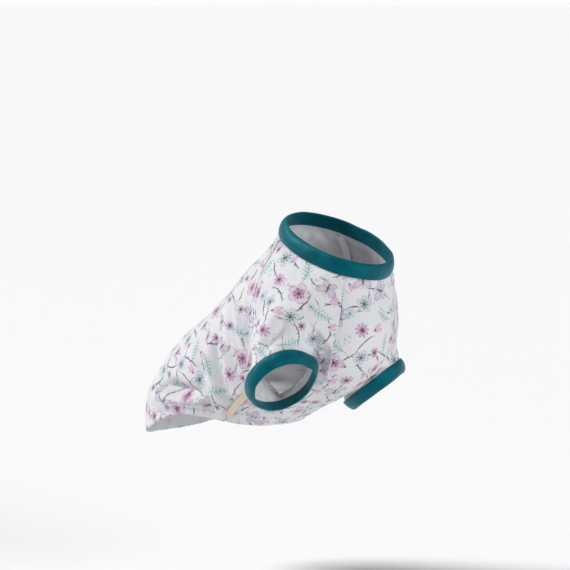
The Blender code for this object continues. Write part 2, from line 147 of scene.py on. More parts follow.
# Finer folds in the same columns, sharper than the solids carry
fineFolds = (
    (-0.84, 0.40, -0.38, -0.99, 0.31, -0.66, 3.0, 1.5),
    (-0.89, 0.29, -0.27, -0.99, 0.24, -0.54, 2.8, 1.3),
    (-0.92, 0.47, -0.54, -0.92, 0.38, -0.82, 3.2, 1.7),
    (-0.94, 0.41, -0.49, -0.93, 0.34, -0.78, 3.0, -1.6),
    (-0.99, 0.32, -0.43, -0.96, 0.26, -0.69, 2.8, -1.4),
    (-0.81, 0.76, -0.79, -0.97, 0.50, -0.80, 3.6, -3.2),
    (-0.90, 0.76, -0.85, -0.92, 0.47, -0.86, 3.4, 1.6),
    (-0.94, 0.69, -0.90, -0.88, 0.45, -0.87, 3.0, -1.3),
    (-0.94, 0.53, -0.64, -1.00, 0.40, -0.72, 3.4, -1.0),
    (-0.93, 0.60, -0.71, -0.97, 0.51, -0.76, 3.2, 1.1),
    (-0.62, 0.90, -0.86, -0.86, 0.66, -0.73, 4.0, 1.2),
    (-0.50, 0.80, -0.60, -0.82, 0.60, -0.60, 5.0, -0.8),
    (-1.22, -0.03, -0.28, -1.42, 0.03, -0.49, 3.2, 1.3),
    (-1.17, -0.06, -0.34, -1.40, -0.01, -0.48, 2.8, -1.2),
    (-1.01, -0.09, -0.38, -1.23, -0.06, -0.47, 2.8, 0.9),
    (-1.03, 0.10, -0.16, -1.30, 0.12, -0.42, 3.4, 1.0),
    (-0.96, 0.14, -0.20, -1.16, 0.16, -0.46, 3.2, -0.9),
    (-0.70, -0.09, -0.51, -0.70, -0.15, -0.41, 2.8, 0.7),
    (-0.55, 0.10, -0.90, -0.20, 0.24, -0.97, 3.6, 0.9),
    (-0.40, 0.04, -0.86, 0.10, 0.12, -0.92, 3.6, -0.8),
    (0.96, 0.50, -0.55, 0.90, 0.40, -0.84, 3.2, 1.4),
    (0.94, 0.40, -0.45, 0.94, 0.33, -0.76, 3.0, -1.3),
    (0.98, 0.30, -0.36, 0.97, 0.26, -0.66, 3.0, 1.2),
    (0.90, 0.78, -0.84, 0.94, 0.50, -0.82, 3.6, -1.8),
    (1.18, 0.02, -0.34, 1.36, 0.10, -0.58, 3.2, 1.0),
    (1.06, -0.04, -0.34, 1.30, 0.03, -0.56, 3.0, -0.9),
    (-0.55, 0.34, -0.10, -0.10, 0.40, -0.08, 5.0, -0.5),
    (0.10, 0.52, -0.26, 0.60, 0.50, -0.30, 5.0, 0.6),
    (-0.30, 0.98, -0.90, 0.40, 1.00, -0.88, 5.0, 0.9),
)

# How the cloth is finished: finer rows, folds, slow waves, gathers by the bands and the cuffs' soft corner
finish = {
    "refine": 4, "foldEnds": 0.35, "foldBoost": 1.4, "foldSlack": 0.008, "fineBoost": 1.75,
    "bandHold": 0.012, "fineHold": 0.005, "wobble": 0.00038, "wobbleLong": 0.030, "wobbleHeld": 0.25,
    "gather": 0.00040, "gatherWave": 0.009, "gatherStart": 0.004, "gatherLong": 0.016,
    "pinch": 0.0020, "pinchAt": 315.0, "pinchTurn": 16.0,
}


def unit(v):
    return v / np.maximum(np.linalg.norm(v, axis=-1, keepdims=True), 1e-12)


def ease(x):
    x = np.clip(x, 0.0, 1.0)
    return x * x * (3.0 - 2.0 * x)


def spline(rows, at):
    # a smooth curve through even rows, read at shares of its length
    last = len(rows) - 1
    x = np.clip(np.asarray(at, float), 0.0, 1.0) * last
    i = np.minimum(x.astype(int), last - 1)
    t = (x - i).reshape(x.shape + (1,) * (rows.ndim - 1))
    before, start = rows[np.maximum(i - 1, 0)], rows[i]
    end, after = rows[i + 1], rows[np.minimum(i + 2, last)]
    leave, arrive = (end - before) / 2, (after - start) / 2
    return ((2 * t**3 - 3 * t**2 + 1) * start + (t**3 - 2 * t**2 + t) * leave
            + (-2 * t**3 + 3 * t**2) * end + (t**3 - t**2) * arrive)


def refined(grid, times):
    grid = spline(grid, np.linspace(0, 1, (len(grid) - 1) * times + 1))
    across = np.swapaxes(grid, 0, 1)
    return np.swapaxes(spline(across, np.linspace(0, 1, (len(across) - 1) * times + 1)), 0, 1)


def bodyTable():
    tilt = math.radians(cut["neckTilt"])
    y, z = cut["neckDepth"] / 2 * math.cos(tilt), cut["neckDepth"] / 2 * math.sin(tilt)
    rows = [(-y, -z, y, z, cut["neckWidth"] / 2, *np.radians(neckSeams))]
    reach, drop = cut["bodyReach"], cut["bodyDrop"]
    for fy, fz, by, bz, wide, front, back in sections:
        half = wide * cut["chestWidth"] / 2
        rows.append((fy * reach, fz * drop, by * reach, bz * drop, half, *np.radians((front, back))))
    return np.array(rows)


bodyRows = bodyTable()


def bodyPoint(down, turn):
    down, turn = np.broadcast_arrays(np.asarray(down, float), np.asarray(turn, float))
    r = spline(bodyRows, down)
    middle, half = (r[..., 0:2] + r[..., 2:4]) / 2, (r[..., 2:4] - r[..., 0:2]) / 2
    yz = middle - half * np.cos(turn)[..., None]
    lift = cut["hemLift"] * ease((down - underarm) / (1 - underarm)) * np.sin(turn) ** 4
    return np.stack([r[..., 4] * np.sin(turn), yz[..., 0], yz[..., 1] + lift], axis=-1)


def bodyNormal(down, turn):
    step = 1e-4
    d = np.clip(down, step, 1 - step)
    along = bodyPoint(d + step, turn) - bodyPoint(d - step, turn)
    return unit(np.cross(along, bodyPoint(d, turn + step) - bodyPoint(d, turn - step)))


def seamTurn(down, which):
    turns = spline(bodyRows, down)[..., 5:7]
    return np.where(np.asarray(down) < underarm, turns[..., which], turns[..., 0])


def neckAxis():
    tilt = math.radians(cut["neckTilt"])
    return np.array([0.0, -math.sin(tilt), math.cos(tilt)])


def cuffFrame(row):
    side = row["side"]
    pitch, splay = math.radians(row["pitch"]), math.radians(row["splay"])
    level = math.cos(splay)
    axis = np.array([side * math.sin(splay), -level * math.sin(pitch), -level * math.cos(pitch)])
    middle = np.array([side * cut["sleeveSpread"] * row["spread"], cut["sleeveBack"] * row["back"],
                       -cut["sleeveDrop"] * row["drop"]])
    outward = unit(np.array([side, 0.0, 0.0]) - axis * side * axis[0])
    return middle, axis, np.cross(axis, outward) * side, outward


def cuffPoint(row, turn):
    # an oval, drawn to a soft corner where the band creases
    middle, _, forward, outward = cuffFrame(row)
    off = (turn - math.radians(finish["pinchAt"]) + math.pi) % (2 * math.pi) - math.pi
    bump = np.exp(-((off / math.radians(finish["pinchTurn"])) ** 2))[..., None]
    swell = 1 + finish["pinch"] / cut["cuffWidth"] * 2 * bump
    along = np.cos(turn)[..., None] * forward * cut["cuffDepth"] / 2
    return middle + (along + np.sin(turn)[..., None] * outward * cut["cuffWidth"] / 2) * swell


def cuffTurn(row, down):
    middle, _, forward, outward = cuffFrame(row)
    away = bodyPoint(down, row["side"] * seamTurn(down, 0)) - middle
    return np.unwrap(np.arctan2(away @ outward, away @ forward))


def cuffRing(row, count):
    start = cuffTurn(row, np.array([underarm]))[0]
    return cuffPoint(row, start + np.linspace(0, 2 * math.pi, count + 1))


def neckRing(count):
    return bodyPoint(0.0, np.linspace(0, 2 * math.pi, count + 1))


def outFrom(points, middle, axis):
    out = points - middle
    return unit(out - axis * (out @ axis)[..., None])


def gridNormals(grid):
    return unit(np.cross(np.gradient(grid, axis=0), np.gradient(grid, axis=1)))


bandRings = [neckRing(120)] + [cuffRing(row, 90) for row in sleeves.values()]


def fromBands(grid):
    away = [np.linalg.norm(grid[..., None, :] - ring, axis=-1).min(axis=-1) for ring in bandRings]
    return np.min(away, axis=0)


def wobble(grid, seed, long, count=14):
    # slow uneven waves that no woven or knitted cloth is without
    rng = np.random.default_rng(seed)
    total = np.zeros(grid.shape[:-1])
    for _ in range(count):
        way = unit(rng.normal(size=3)) * 2 * math.pi / (long * rng.uniform(0.45, 1.3))
        total += np.sin(grid @ way + rng.uniform(0, 2 * math.pi))
    return total / math.sqrt(count)


def foldLift(grid, normals, table, slack=0.0):
    # slack is how far a fold's straight line may run off the curved cloth
    scale = np.array([cut["chestWidth"] / 2, cut["bodyReach"], cut["bodyDrop"]])
    lift = np.zeros(grid.shape[:-1])
    for x0, y0, z0, x1, y1, z1, width, depth in table:
        start = np.array([x0, y0, z0]) * scale
        run = np.array([x1, y1, z1]) * scale - start
        along = np.clip((grid - start) @ run / (run @ run), 0.0, 1.0)
        away = grid - start - along[..., None] * run
        height = (away * normals).sum(axis=-1)
        level = np.linalg.norm(away - normals * height[..., None], axis=-1)
        off = np.hypot(level, np.maximum(np.abs(height) - slack, 0))
        ends = finish["foldEnds"] + (1 - finish["foldEnds"]) * np.sin(math.pi * along)
        lift += depth / 1000 * np.exp(-((off / (width / 1000)) ** 2)) * ends
    return lift


def folded(grid, normals, seed):
    away = fromBands(grid)
    held, fineHeld = ease(away / finish["bandHold"]), ease(away / finish["fineHold"])
    lift = foldLift(grid, normals, folds) * held * finish["foldBoost"]
    lift = lift + foldLift(grid, normals, fineFolds, finish["foldSlack"]) * fineHeld * finish["fineBoost"]
    waves = finish["wobble"] * (finish["wobbleHeld"] + (1 - finish["wobbleHeld"]) * held)
    lift = lift + wobble(grid, seed, finish["wobbleLong"]) * waves
    # small gathers that run out from the bands
    pull = np.exp(-((away - finish["gatherStart"]) / finish["gatherLong"]) ** 2) * fineHeld
    lift = lift + wobble(grid, seed + 90, finish["gatherWave"]) * finish["gather"] * pull
    return grid + normals * lift[..., None]


# Panels

rowsUp, rowsDown, rowsUnderarm = 17, 11, 3


def panelSurface(which, faces, middle, times):
    upper = np.linspace(0, underarm, (rowsUp - 1) * times + 1)
    lower = np.linspace(underarm, 1, rowsDown * times + 1)[1:]
    down = np.concatenate([upper, lower])[:, None]
    edge = seamTurn(down, which)
    step = 1e-4
    reach = np.linalg.norm(bodyPoint(down, edge + step) - bodyPoint(down, edge), axis=-1)
    trim = cut["seamGap"] * step / reach
    turn = middle + (np.abs(edge - middle) - trim) * np.linspace(-1, 1, faces * times + 1)
    return bodyPoint(down, turn), bodyNormal(down, turn)


# Sleeves, relaxed toward the cuff and kept off the panels

sleeveForm = {"faces": 24, "rounds": 6, "steps": 4, "from": 0.50, "front": 0.90, "back": 0.42,
              "underarmReach": 0.22, "liftReach": 0.20, "edgeNear": 0.99, "edgeLift": 0.6, "open": 0.0002,
              "lap": 0.0004, "samples": 90, "checkFrom": 0.25, "checkTo": 0.95, "checkReach": 0.012}


def prolonged(rows, count):
    return np.concatenate([rows, np.repeat(rows[-1:], count, axis=0)])


def openSeams(grid, row):
    side = row["side"]
    down = np.linspace(0, underarm, rowsUp)
    near = np.append(ease(1 - (underarm - down) / sleeveForm["liftReach"]), np.ones(rowsUnderarm))[:, None]
    for which, edge, beside in ((0, 0, 1), (1, -1, -2)):
        out = bodyNormal(down, side * seamTurn(down, which))
        out = prolonged(out, rowsUnderarm)
        inward = unit(grid[:, beside] - grid[:, edge])
        rise = (inward * out).sum(axis=-1, keepdims=True)
        level = np.where(near > sleeveForm["edgeNear"], inward, unit(inward - out * rise))
        apart = near * sleeveForm["open"]
        apart[-1] = 0.0
        grid[:, edge] += level * (cut["seamGap"] + apart)
        lift = near * (cut["cloth"] + sleeveForm["lap"]) * sleeveForm["edgeLift"]
        lift[rowsUp:] *= np.linspace(1, 0, rowsUnderarm + 1)[1:, None]
        grid[:, edge] += out * lift


def clearPanels(grid, side):
    down = np.linspace(sleeveForm["checkFrom"], sleeveForm["checkTo"], sleeveForm["samples"])[:, None]
    turn = np.linspace(0, math.pi, sleeveForm["samples"])[None, :]
    over = ((turn < seamTurn(down, 0)) | (turn > seamTurn(down, 1))).ravel()
    points = bodyPoint(down, side * turn).reshape(-1, 3)
    normals = bodyNormal(down, side * turn).reshape(-1, 3)
    inner = grid[1:-1, 1:-1].reshape(-1, 3)
    away = ((inner[:, None] - points) ** 2).sum(axis=-1)
    nearest = away.argmin(axis=1)
    over = over[nearest] & (away.min(axis=1) < sleeveForm["checkReach"] ** 2)
    height = ((inner - points[nearest]) * normals[nearest]).sum(axis=-1)
    short = np.maximum(cut["cloth"] + sleeveForm["lap"] - height, 0) * over
    grid[1:-1, 1:-1] = (inner + normals[nearest] * short[:, None]).reshape(grid[1:-1, 1:-1].shape)


def sleeveSurface(row):
    side, faces = row["side"], sleeveForm["faces"]
    ring = cuffRing(row, faces)
    down = np.linspace(0, underarm, rowsUp)
    share = np.linspace(0, 1, rowsUnderarm + 1)[1:, None]
    edges = []
    for which in (0, 1):
        line = bodyPoint(down, side * seamTurn(down, which))
        edges.append(np.concatenate([line, line[-1] + (ring[0] - line[-1]) * share]))
    u = np.linspace(0, 1, faces + 1)
    v = np.linspace(0, 1, len(edges[0]))[:, None, None]
    front, back = seamTurn(0.0, 0), seamTurn(0.0, 1)
    arc = bodyPoint(0.0, side * (front + (back - front) * u))
    start = prolonged(cuffTurn(row, down), rowsUnderarm)[:, None]
    stops = np.append(np.radians(backTurns), start[-1] + 2 * math.pi)[:, None]
    end = prolonged(spline(stops, down / underarm), rowsUnderarm)
    turn = start + (end - start) * u
    cuff = cuffPoint(row, turn)
    tuck = cut["sleeveTuck"] * ease(-turn / math.radians(cut["tuckTurn"]) - cut["tuckStart"])[..., None]
    u = u[None, :, None]
    near = v + (1 - v) * tuck
    ruled = (1 - near) * arc + near * cuff
    reach = 1 - (1 - sleeveForm["underarmReach"]) * ease(v)
    grid = ruled + np.maximum(1 - u / reach, 0) ** 2 * (edges[0][:, None] - ruled[:, :1])
    grid = grid + np.maximum(1 - (1 - u) / reach, 0) ** 2 * (edges[1][:, None] - ruled[:, -1:])
    puff = cut["sleevePuff"] * np.sin(math.pi * v) * np.sin(math.pi * u)
    grid = grid + gridNormals(grid) * side * puff
    openSeams(grid, row)
    slack = ease((v - sleeveForm["from"]) / (1 - sleeveForm["from"]))
    slack = slack * np.maximum(ease(1 - u / sleeveForm["front"]), ease(1 - (1 - u) / sleeveForm["back"]))
    for _ in range(sleeveForm["rounds"]):
        for _ in range(sleeveForm["steps"]):
            round4 = (grid[1:-1, :-2] + grid[1:-1, 2:] + grid[:-2, 1:-1] + grid[2:, 1:-1]) / 4
            grid[1:-1, 1:-1] += (round4 - grid[1:-1, 1:-1]) * slack[1:-1, 1:-1]
        clearPanels(grid, side)
    return grid


# Meshes

def placed(obj):
    bpy.context.scene.collection.objects.link(obj)
    return obj


def edited(obj, *steps):
    for other in bpy.context.selected_objects:
        other.select_set(False)
    obj.select_set(True)
    bpy.context.view_layer.objects.active = obj
    bpy.ops.object.mode_set(mode="EDIT")
    bpy.ops.mesh.select_all(action="SELECT")
    for step, settings in steps:
        step(**settings)
    bpy.ops.object.mode_set(mode="OBJECT")


def loopPoints(mesh):
    loops = np.zeros(len(mesh.loops), np.int32)
    mesh.loops.foreach_get("vertex_index", loops)
    return loops


def meshPiece(name, points, faces, uv=None, values=None, sharp=55):
    mesh = bpy.data.meshes.new(name)
    mesh.from_pydata(points.tolist(), [], faces)
    mesh.validate()
    obj = placed(bpy.data.objects.new(name, mesh))
    if uv is not None:
        layer = mesh.uv_layers.new(name="flat")
        layer.data.foreach_set("uv", uv[loopPoints(mesh)].astype(np.float32).ravel())
    for key, value in (values or {}).items():
        mesh.attributes.new(key, "FLOAT", "POINT").data.foreach_set("value", value.astype(np.float32).ravel())
    edited(obj, (bpy.ops.mesh.normals_make_consistent, {"inside": False}))
    mesh.shade_smooth()
    mesh.set_sharp_from_angle(angle=math.radians(sharp))
    return obj


def gridFaces(rows, cols):
    at = np.arange(rows * cols).reshape(rows, cols)
    a, b, c, d = at[:-1, :-1], at[:-1, 1:], at[1:, 1:], at[1:, :-1]
    return np.stack([a, b, c, d], axis=-1).reshape(-1, 4).tolist()


def shellFaces(rows, cols, extra=0):
    # two layers joined over the end, then closed at the start and along both sides
    total = 2 * rows + extra
    faces = gridFaces(total, cols)
    at = np.arange(total * cols).reshape(total, cols)
    for j in range(cols - 1):
        faces.append((at[0, j], at[0, j + 1], at[-1, j + 1], at[-1, j]))
    for column in (at[:, 0], at[:, -1]):
        for i in range(rows - 1):
            faces.append((column[i], column[i + 1], column[-2 - i], column[-1 - i]))
        if extra:
            faces.append(tuple(column[rows - 1 : rows + extra + 1]))
    return [tuple(int(k) for k in f) for f in faces]


def runAlong(line):
    # the way walked along a line, or down each column of a grid
    steps = np.linalg.norm(np.diff(line, axis=0), axis=-1)
    return np.concatenate([np.zeros_like(steps[:1]), np.cumsum(steps, axis=0)])


def readAt(at, run, rows):
    return np.stack([np.interp(at, run, rows[:, k]) for k in range(3)], axis=-1)


def unrolled(grid):
    # the sheet's own flat coordinates in metres, from Blender's least stretched unwrap
    rows, cols = grid.shape[:2]
    obj = meshPiece("unroll", grid.reshape(-1, 3), gridFaces(rows, cols), uv=np.zeros((rows * cols, 2)))
    methods = ("CONFORMAL", "MINIMUM_STRETCH")
    edited(obj, *[(bpy.ops.uv.unwrap, {"method": method, "margin": 0.0}) for method in methods])
    mesh = obj.data
    flat = np.zeros(len(mesh.loops) * 2, np.float32)
    mesh.uv_layers[0].data.foreach_get("uv", flat)
    uv = np.zeros((rows * cols, 2))
    uv[loopPoints(mesh)] = flat.reshape(-1, 2)
    area = sum(p.area for p in mesh.polygons)
    bpy.data.objects.remove(obj, do_unlink=True)
    uv = uv.reshape(rows, cols, 2)
    p, q = uv[1:, 1:] - uv[:-1, :-1], uv[1:, :-1] - uv[:-1, 1:]
    flatArea = np.abs(p[..., 0] * q[..., 1] - p[..., 1] * q[..., 0]).sum() / 2
    uv = (uv - uv.mean(axis=(0, 1))) * math.sqrt(area / flatArea)
    way = uv[-1].mean(axis=0) - uv[0].mean(axis=0)
    turn = -math.pi / 2 - math.atan2(way[1], way[0])
    spin = np.array([[math.cos(turn), math.sin(turn)], [-math.sin(turn), math.cos(turn)]])
    uv = uv @ spin
    if np.cross(uv[0, -1] - uv[0, 0], uv[-1, 0] - uv[0, 0]) > 0:
        uv[..., 0] *= -1
    return uv, area


clothForm = {"rollDepth": 0.00022, "rollWidth": 0.0012, "bandDepth": 0.0007, "bandWidth": 0.0030,
             "hemTall": 0.0105, "hemExtra": 0.0004, "hemSoft": 0.0008, "rim": 5}


def clothPiece(name, grid, normals, uv, hem):
    # wall, rolled seam edges and, where there is one, the turned hem
    rows, cols = grid.shape[:2]
    left, down = runAlong(np.swapaxes(grid, 0, 1)).T, runAlong(grid)
    edge, up = np.minimum(left, left[:, -1:] - left), down[-1:] - down
    roll = clothForm["rollDepth"] * (1 - ease(edge / clothForm["rollWidth"])) ** 1.5
    bandEnd = down if hem else np.minimum(down, up)
    roll = roll + clothForm["bandDepth"] * (1 - ease(bandEnd / clothForm["bandWidth"])) ** 1.5
    thick = np.full((rows, cols), cut["cloth"])
    if hem:
        turned = 1 - ease((up - clothForm["hemTall"]) / clothForm["hemSoft"] + 0.5)
        thick = thick + 2 * clothForm["hemExtra"] * turned
    outer = grid + normals * (thick / 2 - roll)[..., None]
    inner = grid - normals * (thick / 2 + roll)[..., None]
    layers = [outer]
    if hem:
        way = unit(grid[-1] - grid[-2])
        middle, half = (outer[-1] + inner[-1]) / 2, (thick[-1] / 2)[:, None]
        for turn in np.linspace(0, math.pi, clothForm["rim"] + 2)[1:-1]:
            layers.append((middle + normals[-1] * half * math.cos(turn) + way * half * math.sin(turn))[None])
    layers.append(inner[::-1])
    shell = np.concatenate(layers)
    extra = len(shell) - 2 * rows

    def stacked(value):
        return np.concatenate([prolonged(value, extra), value[::-1]])

    values = {
        "inside": np.concatenate([np.zeros((rows + extra, cols)), np.ones((rows, cols))]),
        "seamNear": stacked(edge),
        "hemNear": stacked(up if hem else up + 1),
    }
    flat = stacked(uv).reshape(-1, 2)
    return meshPiece(name, shell.reshape(-1, 3), shellFaces(rows, cols, extra), flat, values)


def ribbon(name, line, out, width, thick, across, waves=0.0, sunk=0.0, sunkPoints=6):
    # a flat strip along a line, its face turned out, its ends sunk into the cloth over a few points
    side = unit(np.cross(np.gradient(line, axis=0), out))
    shares = np.linspace(-0.5, 0.5, across + 1)
    grid = line[:, None] + side[:, None] * width * shares[None, :, None]
    normals = np.repeat(out[:, None], across + 1, axis=1)
    ends = 1 - ease(np.minimum(np.arange(len(line)), np.arange(len(line))[::-1]) / sunkPoints)
    grid = grid + normals * (ends * sunk)[:, None, None]
    uv = np.stack(np.broadcast_arrays(shares[None] * width, runAlong(line)[:, None]), axis=-1)
    lift = np.full(grid.shape[:2], thick / 2) + waves
    outer, inner = grid + normals * lift[..., None], (grid - normals * thick / 2)[::-1]
    points = np.concatenate([outer, inner]).reshape(-1, 3)
    flat = np.concatenate([uv, uv[::-1]]).reshape(-1, 2)
    return meshPiece(name, points, shellFaces(len(line), across + 1), flat)


def stitchRow(name, line, out, pitch, long, wide):
    # one stitch is modelled once and laid along the line
    run = runAlong(line)
    at = np.linspace(0, run[-1], max(int(run[-1] / pitch), 2) + 1)
    points, normals = readAt(at, run, line), unit(readAt(at, run, out))
    way = unit(np.gradient(points, axis=0))
    side = np.cross(way, normals)
    ring = np.linspace(0, math.pi, 5)
    body, faces = [], []
    for share, swell in ((-0.5, 0.35), (-0.25, 0.9), (0.25, 0.9), (0.5, 0.35)):
        for turn in ring:
            body.append((share * long, math.cos(turn) * wide / 2 * swell, math.sin(turn) * wide / 2 * swell))
    body = np.array(body)
    one = gridFaces(4, 5) + [(0, 5, 10, 15, 19, 14, 9, 4), (0, 1, 2, 3, 4), (15, 16, 17, 18, 19)]
    made = []
    for k in range(len(points)):
        made.append(points[k] + body[:, :1] * way[k] + body[:, 1:2] * side[k] + body[:, 2:3] * normals[k])
        faces += [tuple(int(i) + k * len(body) for i in f) for f in one]
    return meshPiece(name, np.concatenate(made), faces, sharp=80)


# Materials

class Wire:
    # one socket, so that shader sums read as sums
    def __init__(self, tree, socket):
        self.tree, self.socket = tree, socket

    def node(self, kind, settings=None, inputs=None, out=0):
        node = self.tree.nodes.new("ShaderNode" + kind)
        for key, value in (settings or {}).items():
            setattr(node, key, value)
        for key, value in (inputs or {}).items():
            if isinstance(value, Wire):
                self.tree.links.new(value.socket, node.inputs[key])
            else:
                node.inputs[key].default_value = value
        return Wire(self.tree, node.outputs[out])

    def into(self, shader, name):
        self.tree.links.new(self.socket, shader.inputs[name])

    def math(self, what, *rest, clamp=False):
        inputs = dict(enumerate((self,) + rest))
        return self.node("Math", {"operation": what, "use_clamp": clamp}, inputs)

    def __add__(self, other):
        return self.math("ADD", other)

    def __sub__(self, other):
        return self.math("SUBTRACT", other)

    def __mul__(self, other):
        return self.math("MULTIPLY", other)

    def __truediv__(self, other):
        return self.math("DIVIDE", other)

    def __rsub__(self, other):
        return self.node("Math", {"operation": "SUBTRACT"}, {0: other, 1: self})

    __radd__, __rmul__ = __add__, __mul__

    def abs(self):
        return self.math("ABSOLUTE")

    def below(self, limit, soft):
        # 1 where self is under the limit, with a soft step
        return ((limit - self) * (1 / soft)).math("ADD", 0.5, clamp=True)

    def above(self, limit, gain):
        return (self - limit).math("MULTIPLY", gain, clamp=True)

    def near(self, value, half, soft):
        return (self - value).abs().below(half, soft)

    def tinted(self, colour, share):
        inputs = {0: share, 6: self, 7: inks[colour] if isinstance(colour, str) else colour}
        return self.node("Mix", {"data_type": "RGBA", "clamp_factor": True}, inputs, 2)


def newMaterial(name, roughness, sheen=0.0):
    mat = bpy.data.materials.new(name)
    mat.use_nodes = True
    tree = mat.node_tree
    shader = tree.nodes["Principled BSDF"]
    shader.inputs["Roughness"].default_value = roughness
    shader.inputs["Sheen Weight"].default_value = sheen
    shader.inputs["Sheen Roughness"].default_value = 0.4
    return mat, Wire(tree, shader.outputs[0]), shader


def flatPlace(start):
    # the place on the flat cloth in mm, with two named nodes that can shift it
    uv = start.node("UVMap", {"uv_map": "flat"})
    place = start.node("VectorMath", {"operation": "MULTIPLY"}, {0: uv, 1: (1000.0, 1000.0, 0)})
    x = place.node("SeparateXYZ", None, {0: place}, 0) + 0.0
    y = place.node("SeparateXYZ", None, {0: place}, 1) + 0.0
    x.socket.node.name, y.socket.node.name = "shiftX", "shiftY"
    return x, y


def joined(x, y, z=0.0):
    return x.node("CombineXYZ", None, {0: x, 1: y, 2: z})


def attribute(start, name):
    return start.node("Attribute", {"attribute_name": name}, None, 2)


def noise(start, vector, scale, detail):
    inputs = {"Vector": vector, "Scale": scale, "Detail": detail}
    return start.node("TexNoise", {"noise_dimensions": "3D"}, inputs, 0)


def plainColour(start, colour):
    wire = start.node("RGB")
    wire.socket.default_value = colour
    return wire


def addBump(height, shader):
    # relief from a height in metres
    inputs = {"Height": height, "Strength": 0.6, "Distance": 1.0}
    height.node("Bump", None, inputs).into(shader, "Normal")


def jerseyBump(x, y, shader, wale, course, depth):
    # knit columns with slanted loops, sizes in millimetres
    across = (x * (1 / wale)).math("FRACT")
    slant = (across - 0.5).abs() * wale * 1.3
    loops = ((y + slant) * (2 * math.pi / course)).math("COSINE")
    groove = (x * (2 * math.pi / wale)).math("COSINE")
    addBump((loops * 0.5 + groove * 0.6) * depth * 0.5 * 0.001, shader)


inks = {
    "cloth": (0.635, 0.63, 0.645, 1), "lilacCloth": (0.57, 0.53, 0.60, 1), "fuzz": (0.60, 0.60, 0.68, 1),
    "mintCloth": (0.53, 0.625, 0.63, 1), "paintedShade": (0.34, 0.33, 0.38, 1),
    "magenta": (0.33, 0.085, 0.25, 1), "plum": (0.085, 0.008, 0.050, 1), "pink": (0.52, 0.26, 0.45, 1),
    "pinkInk": (0.26, 0.030, 0.17, 1), "blue": (0.32, 0.45, 0.53, 1), "blueInk": (0.075, 0.11, 0.155, 1),
    "teal": (0.20, 0.44, 0.47, 1), "tealInk": (0.035, 0.17, 0.20, 1), "lilac": (0.38, 0.31, 0.45, 1),
    "lilacInk": (0.13, 0.075, 0.16, 1), "twig": (0.036, 0.015, 0.019, 1), "slate": (0.03, 0.03, 0.042, 1),
}


def byChance(place, out):
    return place.node("TexWhiteNoise", {"noise_dimensions": "3D"}, {"Vector": place}, out)


def scattered(x, y, cell, shift, seed, jitter, sizes):
    # each motif's own place on a half-drop layout, jogged, turned and sized by chance
    x, y = x + shift[0] * cell, y + shift[1] * cell
    across = x * (1 / cell)
    column = across.math("FLOOR")
    along = y * (1 / cell) + (column * 0.5).math("FRACT")
    row = along.math("FLOOR")
    chance = byChance(joined(column, row, seed), 1)
    parts = [chance.node("SeparateColor", None, {0: chance}, k) for k in range(3)]
    kind = byChance(joined(column, row, seed + 7.3), 0)
    dx = (across - column - 0.5) * cell - (parts[0] - 0.5) * jitter
    dy = (along - row - 0.5) * cell - (parts[1] - 0.5) * jitter
    turn = parts[2] * (2 * math.pi)
    c, s = turn.math("COSINE"), turn.math("SINE")
    size = (kind * 23.0).math("FRACT") * (sizes[1] - sizes[0]) + sizes[0]
    return (dx * c + dy * s) / size, (dy * c - dx * s) / size, kind


def among(kind, low, high):
    return kind.math("GREATER_THAN", low) * kind.math("LESS_THAN", high)


def polar(a, b):
    return (a * a + b * b).math("SQRT"), b.math("ARCTAN2", a)


def oval(a, b, a0, b0, long, wide, turn=0.0):
    c, s = math.cos(turn), math.sin(turn)
    p, q = (a - a0), (b - b0)
    u, v = (p * c + q * s) * (1 / long), (q * c - p * s) * (1 / wide)
    return (u * u + v * v).math("SQRT")


def blossom(colour, a, b, shown, wet, form):
    # wet petals that thin outward in streaks, with a fine line round them and a dark heart
    r, turn = polar(a, b)
    turn = turn + form.get("turn", 0.0)
    lobe = (turn * (form["petals"] / 2)).math("COSINE").abs().math("POWER", form["blunt"])
    edge = (lobe * (1 - form["notch"]) + form["notch"]) * form["radius"]
    within = (r - edge).below(0.0, 0.5) * shown
    share = r / edge
    streak = (turn * (form["petals"] * 3.0)).math("COSINE") * 0.5 + 0.5
    wash = (1.05 - share * form["fade"]) * (0.55 + wet * 0.8) * (1 - streak * form["streaks"])
    wash = wash.math("ADD", share.near(0.93, 0.04, 0.10) * 0.25, clamp=True)
    colour = colour.tinted(form["fill"], within * wash * form["strength"])
    veins = within * lobe.below(0.20, 0.25) * share.near(0.6, 0.3, 0.2) * 0.7
    line = (r - edge + 0.2).near(0.0, 0.10, 0.30).math("MAXIMUM", veins)
    colour = colour.tinted(form["ink"], line * shown * form["line"])
    heart = form["heart"]
    colour = colour.tinted(form["core"], shown * r.below(heart, heart * 0.9) * 0.9)
    if "stamens" in form:
        wave = (turn * form["stamens"]).math("COSINE")
        rays = wave.math("GREATER_THAN", 0.35) * r.near(heart * 1.7, heart * 0.55, 0.4)
        tips = wave.math("GREATER_THAN", 0.2) * r.near(heart * 2.35, 0.24, 0.2)
        colour = colour.tinted(form["core"], shown * rays.math("MAXIMUM", tips) * 0.7)
    return colour


